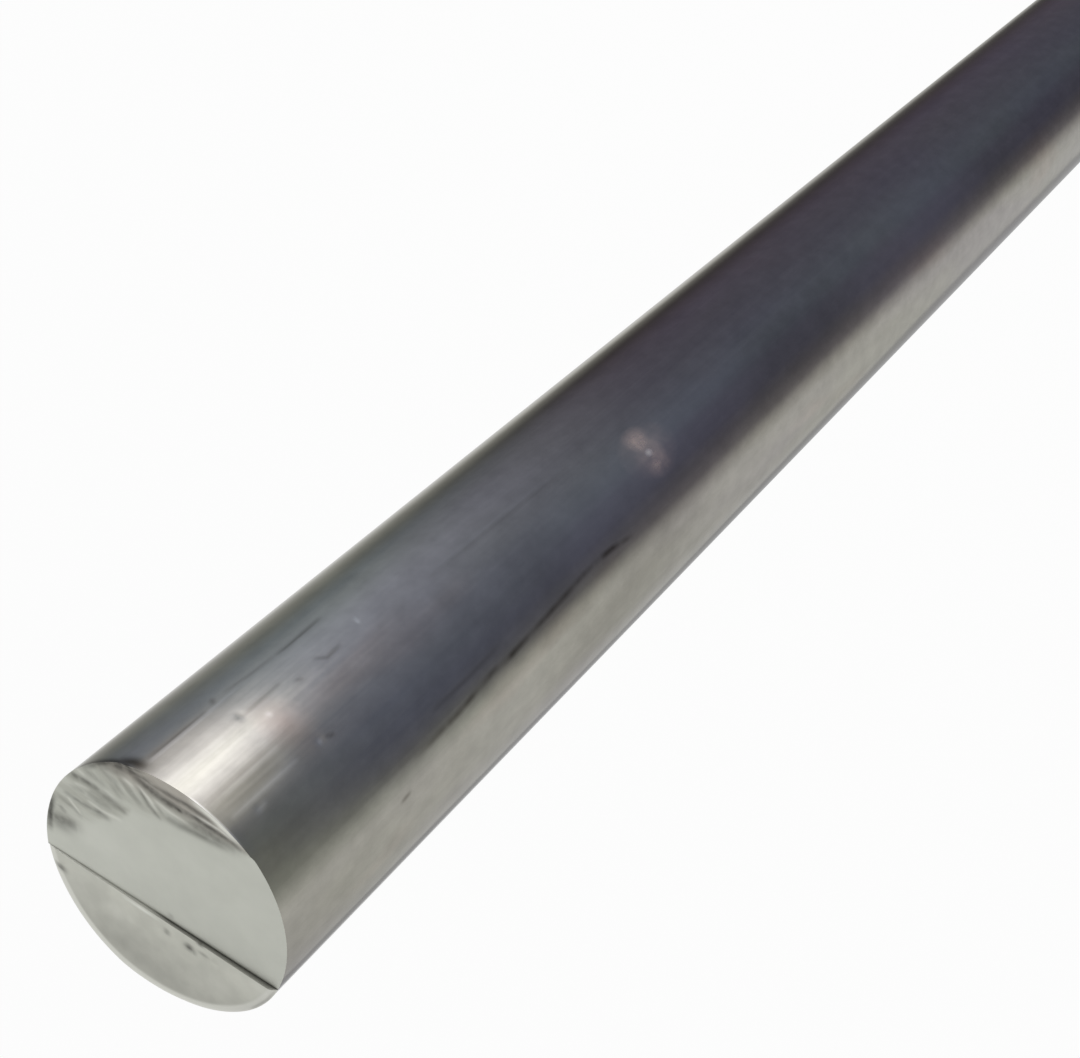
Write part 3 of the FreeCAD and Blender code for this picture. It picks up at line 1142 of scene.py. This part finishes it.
def sawn_finish():
    """Sawn metal: clean, torn, bitten, filed, lightened and darkened, by the shares on the points."""
    finish, tree, shader, here = new_finish("sawn_end")
    y = place_node(tree, "SeparateXYZ", {0: here}).outputs["Y"]
    lines, mottle, grain = (noise(tree, here, *kind) for kind in (SAW_LINES, FACE_MOTTLE, GRAIN))
    tears = between(tree, tear_pattern(tree, here, y), *TEAR_SPREAD)
    torn = product(tree, stored(tree, "torn"), tears)

    clean = shaded(tree, SAWN_METAL, between(tree, mottle, *MAIN_FACE_SPREAD))
    to_rim = between(tree, y, *RIM_SPREAD)
    cut_again = mixed(tree, to_rim, SECOND_CUT_METAL, SECOND_CUT_SHADED_AT_RIM)
    cut_again = shaded(tree, cut_again, between(tree, mottle, *SECOND_CUT_SPREAD))
    colour = mixed(tree, between(tree, y, *SECOND_SPREAD), clean, cut_again)
    bitten = product(tree, between(tree, y, *BITTEN_SPREAD), stored(tree, "torn"))
    for share, metal in (
        (torn, TORN_METAL),
        (bitten, BITTEN_METAL),
        (stored(tree, "filed"), FILED_METAL),
        (stored(tree, "smear_and_highlight"), SMEAR_AND_HIGHLIGHT_METAL),
        (held_dirt_and_shade(tree, here), DIRT_AND_SHADE_METAL),
    ):
        colour = mixed(tree, share, colour, metal)
    tree.links.new(colour, shader.inputs["Base Color"])

    tree.links.new(between(tree, torn, *SAWN_GLOSS_SPREAD), shader.inputs["Roughness"])
    heights = weighed_sum(
        tree, (lines, SAW_LINE_HEIGHT), (grain, GRAIN_HEIGHT), (torn, TORN_HEIGHT)
    )
    finish_relief(tree, shader, heights, *SAWN_RELIEF)
    return finish


mesh.materials.append(skin_finish())
mesh.materials.append(sawn_finish())
print("finishes", [finish.name for finish in mesh.materials])


# %% [markdown]
# The studio.
# Metal shows what is around it, so the studio is half of its look. The pale floor is what
# the bright band along the bar's lower side mirrors. A sheet lies on it, nearly all round
# the foot, and is dark on the side that is up in the picture, which the dark part of the
# skin mirrors. A curved soft lamp on that side gives the streaky highlight behind the
# sawn end, and a thin strip on the other side the grey line along the bar's lower edge.
# The sheet and the strip are seen by mirror rays alone, so they light nothing. The lamp
# does light the bar, and is only hidden from the camera.

# %% Flat things of the studio
def flat_piece(name, corners, cells):
    """A flat mesh from corners, put in the scene as an object of its own."""
    sheet = bpy.data.meshes.new(name)
    sheet.from_pydata([tuple(corner) for corner in corners], [], cells)
    piece = put_in_scene(name, sheet)
    return piece


def only_in_mirrors(piece):
    """Makes a piece be seen by mirror rays alone."""
    piece.visible_camera = False
    piece.visible_diffuse = False
    piece.visible_shadow = False
    piece.visible_transmission = False


def compass(angle, distance, height):
    """A place round the bar's foot: the angle goes from our left towards up as the bar is seen."""
    sideways = left * math.cos(angle) + up * math.sin(angle)
    return sideways * distance + Vector((0.0, 0.0, height))


# %% The floor
FLOOR_HALF = 6.0
FLOOR_COLOUR = (0.90, 0.90, 0.90, 1.0)
FLOOR_WHITE = (1.0, 1.0, 1.0, 1.0)
FLOOR_WHITE_SHARE = 0.92

# Seen by the camera or in the metal, the floor is nearly even white. It lights the bar
# like matt paint.
floor_signs = ((-1, -1), (1, -1), (1, 1), (-1, 1))
floor_corners = [(FLOOR_HALF * x, FLOOR_HALF * y, 0) for x, y in floor_signs]
floor = flat_piece("floor", floor_corners, [(0, 1, 2, 3)])
pale = bpy.data.materials.new("pale_floor")
pale.use_nodes = True
tree = pale.node_tree
tree.nodes.clear()
path = place_node(tree, "LightPath")
seen = arithmetic(tree, "MAXIMUM", path.outputs["Is Camera Ray"], path.outputs["Is Glossy Ray"])
seen = arithmetic(tree, "MAXIMUM", seen, path.outputs["Is Transmission Ray"])
matt = place_node(tree, "BsdfDiffuse", {"Color": FLOOR_COLOUR}).outputs[0]
white = place_node(tree, "Emission", {"Color": FLOOR_WHITE}).outputs[0]
share = product(tree, seen, FLOOR_WHITE_SHARE)
both = place_node(tree, "MixShader", {0: share, 1: matt, 2: white}).outputs[0]
place_node(tree, "OutputMaterial", {"Surface": both})
floor.data.materials.append(pale)

# %% The toned sheet
SHEET_FROM = -35.0
SHEET_TO = 290.0
SHEET_RADIUS = 5.0
SHEET_HEIGHT = 0.4 * MM
SHEET_CORNERS = 20
# The sheet's colours in four rings round the foot. Each stop has its compass angle in
# degrees, and the red, green and blue there.
NEAR_RING = (
    (-35, 0.85, 0.85, 0.82), (-20, 0.92, 0.91, 0.87), (-15, 0.74, 0.73, 0.69),
    (-11, 0.46, 0.45, 0.42), (-8, 0.315, 0.305, 0.285), (-4, 0.24, 0.23, 0.215),
    (6, 0.112, 0.099, 0.106), (22, 0.142, 0.12, 0.162), (38, 0.18, 0.163, 0.228),
    (94, 0.165, 0.172, 0.238), (110, 0.172, 0.19, 0.255), (126, 0.154, 0.173, 0.233),
    (142, 0.132, 0.135, 0.193), (158, 0.126, 0.126, 0.182), (173, 0.169, 0.162, 0.194),
    (185, 0.27, 0.255, 0.285), (197, 0.71, 0.7, 0.69), (208, 0.98, 0.98, 0.98),
    (235, 1.0, 1.0, 0.99), (248, 0.92, 0.92, 0.89), (262, 0.97, 0.97, 0.96),
    (290, 0.8, 0.8, 0.8),
)
# Closest to the foot only the first part of the ring differs.
INNER_RING = (
    (-35, 0.66, 0.66, 0.63), (-20, 0.54, 0.53, 0.50), (-15, 0.40, 0.39, 0.37),
    (-11, 0.26, 0.25, 0.24), (-8, 0.175, 0.17, 0.16), (-4, 0.132, 0.125, 0.12),
) + NEAR_RING[6:]
MIDDLE_RING = (
    (-35, 1.0, 1.0, 0.97), (-29, 0.98, 0.98, 0.95), (-4, 0.47, 0.48, 0.45),
    (6, 0.355, 0.38, 0.377), (22, 0.34, 0.395, 0.46), (34, 0.46, 0.515, 0.59),
    (62, 0.57, 0.625, 0.735), (110, 0.335, 0.37, 0.465), (142, 0.215, 0.242, 0.33),
    (158, 0.175, 0.192, 0.28), (173, 0.185, 0.195, 0.265), (185, 0.265, 0.27, 0.29),
    (197, 0.69, 0.71, 0.69), (208, 0.92, 0.92, 0.92), (290, 0.97, 0.97, 0.97),
)
OUTER_RING = (
    (-35, 0.95, 0.95, 0.92), (-25, 0.73, 0.73, 0.7), (-9, 0.48, 0.49, 0.475),
    (-2, 0.39, 0.41, 0.42), (6, 0.35, 0.38, 0.43), (22, 0.38, 0.41, 0.51),
    (36, 0.5, 0.53, 0.63), (60, 0.6, 0.63, 0.7), (100, 0.6, 0.63, 0.7), (126, 0.48, 0.48, 0.5),
    (136, 0.31, 0.32, 0.34), (144, 0.266, 0.284, 0.287), (158, 0.298, 0.31, 0.288),
    (172, 0.362, 0.376, 0.35), (185, 0.465, 0.485, 0.455), (208, 0.92, 0.92, 0.92),
    (248, 0.835, 0.84, 0.81), (290, 0.97, 0.97, 0.97),
)
# How far from the foot the rings blend into each other, in metres.
INNER_TO_NEAR = (0.15, 0.29)
NEAR_TO_MIDDLE = (0.33, 0.52)
MIDDLE_TO_OUTER = (0.58, 0.71)


def bearing(tree, here, first, last):
    """A place's compass angle in degrees, for angles between the two given.

    The angle is taken from the line half way between them by the arc tangent, so that the
    jump from half a turn to minus half a turn lies opposite.
    """
    middle = math.radians((first + last) / 2)
    ahead, aside = (
        vector_math(tree, "DOT_PRODUCT", here, compass(angle, 1.0, 0.0))
        for angle in (middle, middle + math.pi / 2)
    )
    turned = arithmetic(tree, "ARCTAN2", aside, ahead)
    return weighed_sum(tree, (turned, math.degrees(1.0)), (math.degrees(middle), 1.0))


def colours_along(tree, value, stops):
    """A colour that follows a number, from stops that give the number and the colour there."""
    (low, *first), *inner, (high, *last) = stops
    ramp = place_node(tree, "ValToRGB", {"Fac": between(tree, value, 0.0, 1.0, low, high)})
    elements = ramp.color_ramp.elements
    elements[0].color, elements[1].color = (*first, 1.0), (*last, 1.0)
    for number, *colour in inner:
        elements.new((number - low) / (high - low)).color = (*colour, 1.0)
    return ramp.outputs["Color"]


def glow_material(name):
    """A material that only glows: its tree, its glow node and its Object coordinates."""
    material = bpy.data.materials.new(name)
    material.use_nodes = True
    tree = material.node_tree
    tree.nodes.clear()
    here = place_node(tree, "TexCoord").outputs["Object"]
    glow = place_node(tree, "Emission")
    place_node(tree, "OutputMaterial", {"Surface": glow.outputs[0]})
    return material, tree, glow, here


sheet_bearings = np.radians(np.linspace(SHEET_FROM, SHEET_TO, SHEET_CORNERS))
sheet_corners = [Vector((0, 0, SHEET_HEIGHT))]
sheet_corners += [compass(angle, SHEET_RADIUS, SHEET_HEIGHT) for angle in sheet_bearings]
dark_sheet = flat_piece("dark_sheet", sheet_corners, [(0, i, i + 1) for i in range(1, SHEET_CORNERS)])
only_in_mirrors(dark_sheet)

material, tree, glow, here = glow_material("dark_sheet")
distance = vector_math(tree, "LENGTH", here)
angle = bearing(tree, here, SHEET_FROM, SHEET_TO)
colour = colours_along(tree, angle, INNER_RING)
for ring, reach in (
    (NEAR_RING, INNER_TO_NEAR),
    (MIDDLE_RING, NEAR_TO_MIDDLE),
    (OUTER_RING, MIDDLE_TO_OUTER),
):
    share = between(tree, distance, 0.0, 1.0, *reach)
    colour = mixed(tree, share, colour, colours_along(tree, angle, ring))
tree.links.new(colour, glow.inputs["Color"])
dark_sheet.data.materials.append(material)

# %% The curved soft lamp
# The lamp's lower edge is lowest at one angle, and rises from there by the square of the
# angle, by the arch's height at the arch's reach.
LAMP_FROM = 34.0
LAMP_TO = 128.0
LAMP_DISTANCE = 0.45
LAMP_PARTS = 24
LAMP_LOWEST = 0.137
LAMP_ARCH = 0.016
LAMP_ARCH_MIDDLE = 80.0
LAMP_ARCH_REACH = 36.0
LAMP_TOP = 0.62
LAMP_STRENGTH = 2.95
# The lamp's light in the same form, as a share of its strength.
LAMP_LIGHT = (
    (34, 0.18, 0.18, 0.2), (46, 0.38, 0.37, 0.39), (62, 0.6, 0.59, 0.63),
    (70, 0.83, 0.82, 0.87), (77, 0.93, 0.92, 0.95), (86, 0.91, 0.90, 0.94),
    (94, 0.70, 0.69, 0.72), (102, 0.49, 0.48, 0.49), (110, 0.36, 0.355, 0.35),
    (128, 0.2, 0.2, 0.2),
)

lamp_bearings = np.linspace(LAMP_FROM, LAMP_TO, LAMP_PARTS + 1)
arch = ((lamp_bearings - LAMP_ARCH_MIDDLE) / LAMP_ARCH_REACH) ** 2
lamp_corners = [
    compass(math.radians(angle), LAMP_DISTANCE, height)
    for edge in (LAMP_LOWEST + LAMP_ARCH * arch, np.full(LAMP_PARTS + 1, LAMP_TOP))
    for angle, height in zip(lamp_bearings, edge)
]
lamp_cells = [(i, i + 1, i + LAMP_PARTS + 2, i + LAMP_PARTS + 1) for i in range(LAMP_PARTS)]
soft_lamp = flat_piece("soft_lamp", lamp_corners, lamp_cells)
soft_lamp.visible_camera = False
soft_lamp.visible_shadow = False

material, tree, glow, here = glow_material("soft_lamp")
light = colours_along(tree, bearing(tree, here, LAMP_FROM, LAMP_TO), LAMP_LIGHT)
tree.links.new(light, glow.inputs["Color"])
glow.inputs["Strength"].default_value = LAMP_STRENGTH
soft_lamp.data.materials.append(material)

# %% The thin strip
STRIP_DISTANCE = 0.052
STRIP_GLOW = (0.57, 0.57, 0.58, 1.0)
# The strip's two edges: the height, and the places to our left, in millimetres.
STRIP_EDGES = (
    (600, -7.5, 8), (430, -7.5, 8), (390, -7.5, 11), (330, -16, 14),
    (276, -23, 15), (222, -26, 15), (0, -28, 15),
)

strip_corners = [
    left * sideways * MM - up * STRIP_DISTANCE + Vector((0.0, 0.0, height * MM))
    for height, *both_edges in STRIP_EDGES
    for sideways in both_edges
]
strip_cells = [(2 * i, 2 * i + 1, 2 * i + 3, 2 * i + 2) for i in range(len(STRIP_EDGES) - 1)]
dark_strip = flat_piece("dark_strip", strip_corners, strip_cells)
only_in_mirrors(dark_strip)
material, tree, glow, here = glow_material("dark_strip")
glow.inputs["Color"].default_value = STRIP_GLOW
dark_strip.data.materials.append(material)

# %% The room's own light
ROOM_COLOUR = (0.80, 0.81, 0.80, 1.0)
ROOM_STRENGTH = 0.95

room = bpy.data.worlds.new("room")
scene.world = room
room.use_nodes = True
background = room.node_tree.nodes["Background"]
background.inputs["Color"].default_value = ROOM_COLOUR
background.inputs["Strength"].default_value = ROOM_STRENGTH

scene.view_settings.view_transform = "Standard"

# %% [markdown]
# The last step.
# The surface must stay inside the imported model's box, because the imported model is what
# other parts are fitted to. Here the scene is only brought up to date.

# %% Bring the scene up to date
bpy.context.view_layer.update()
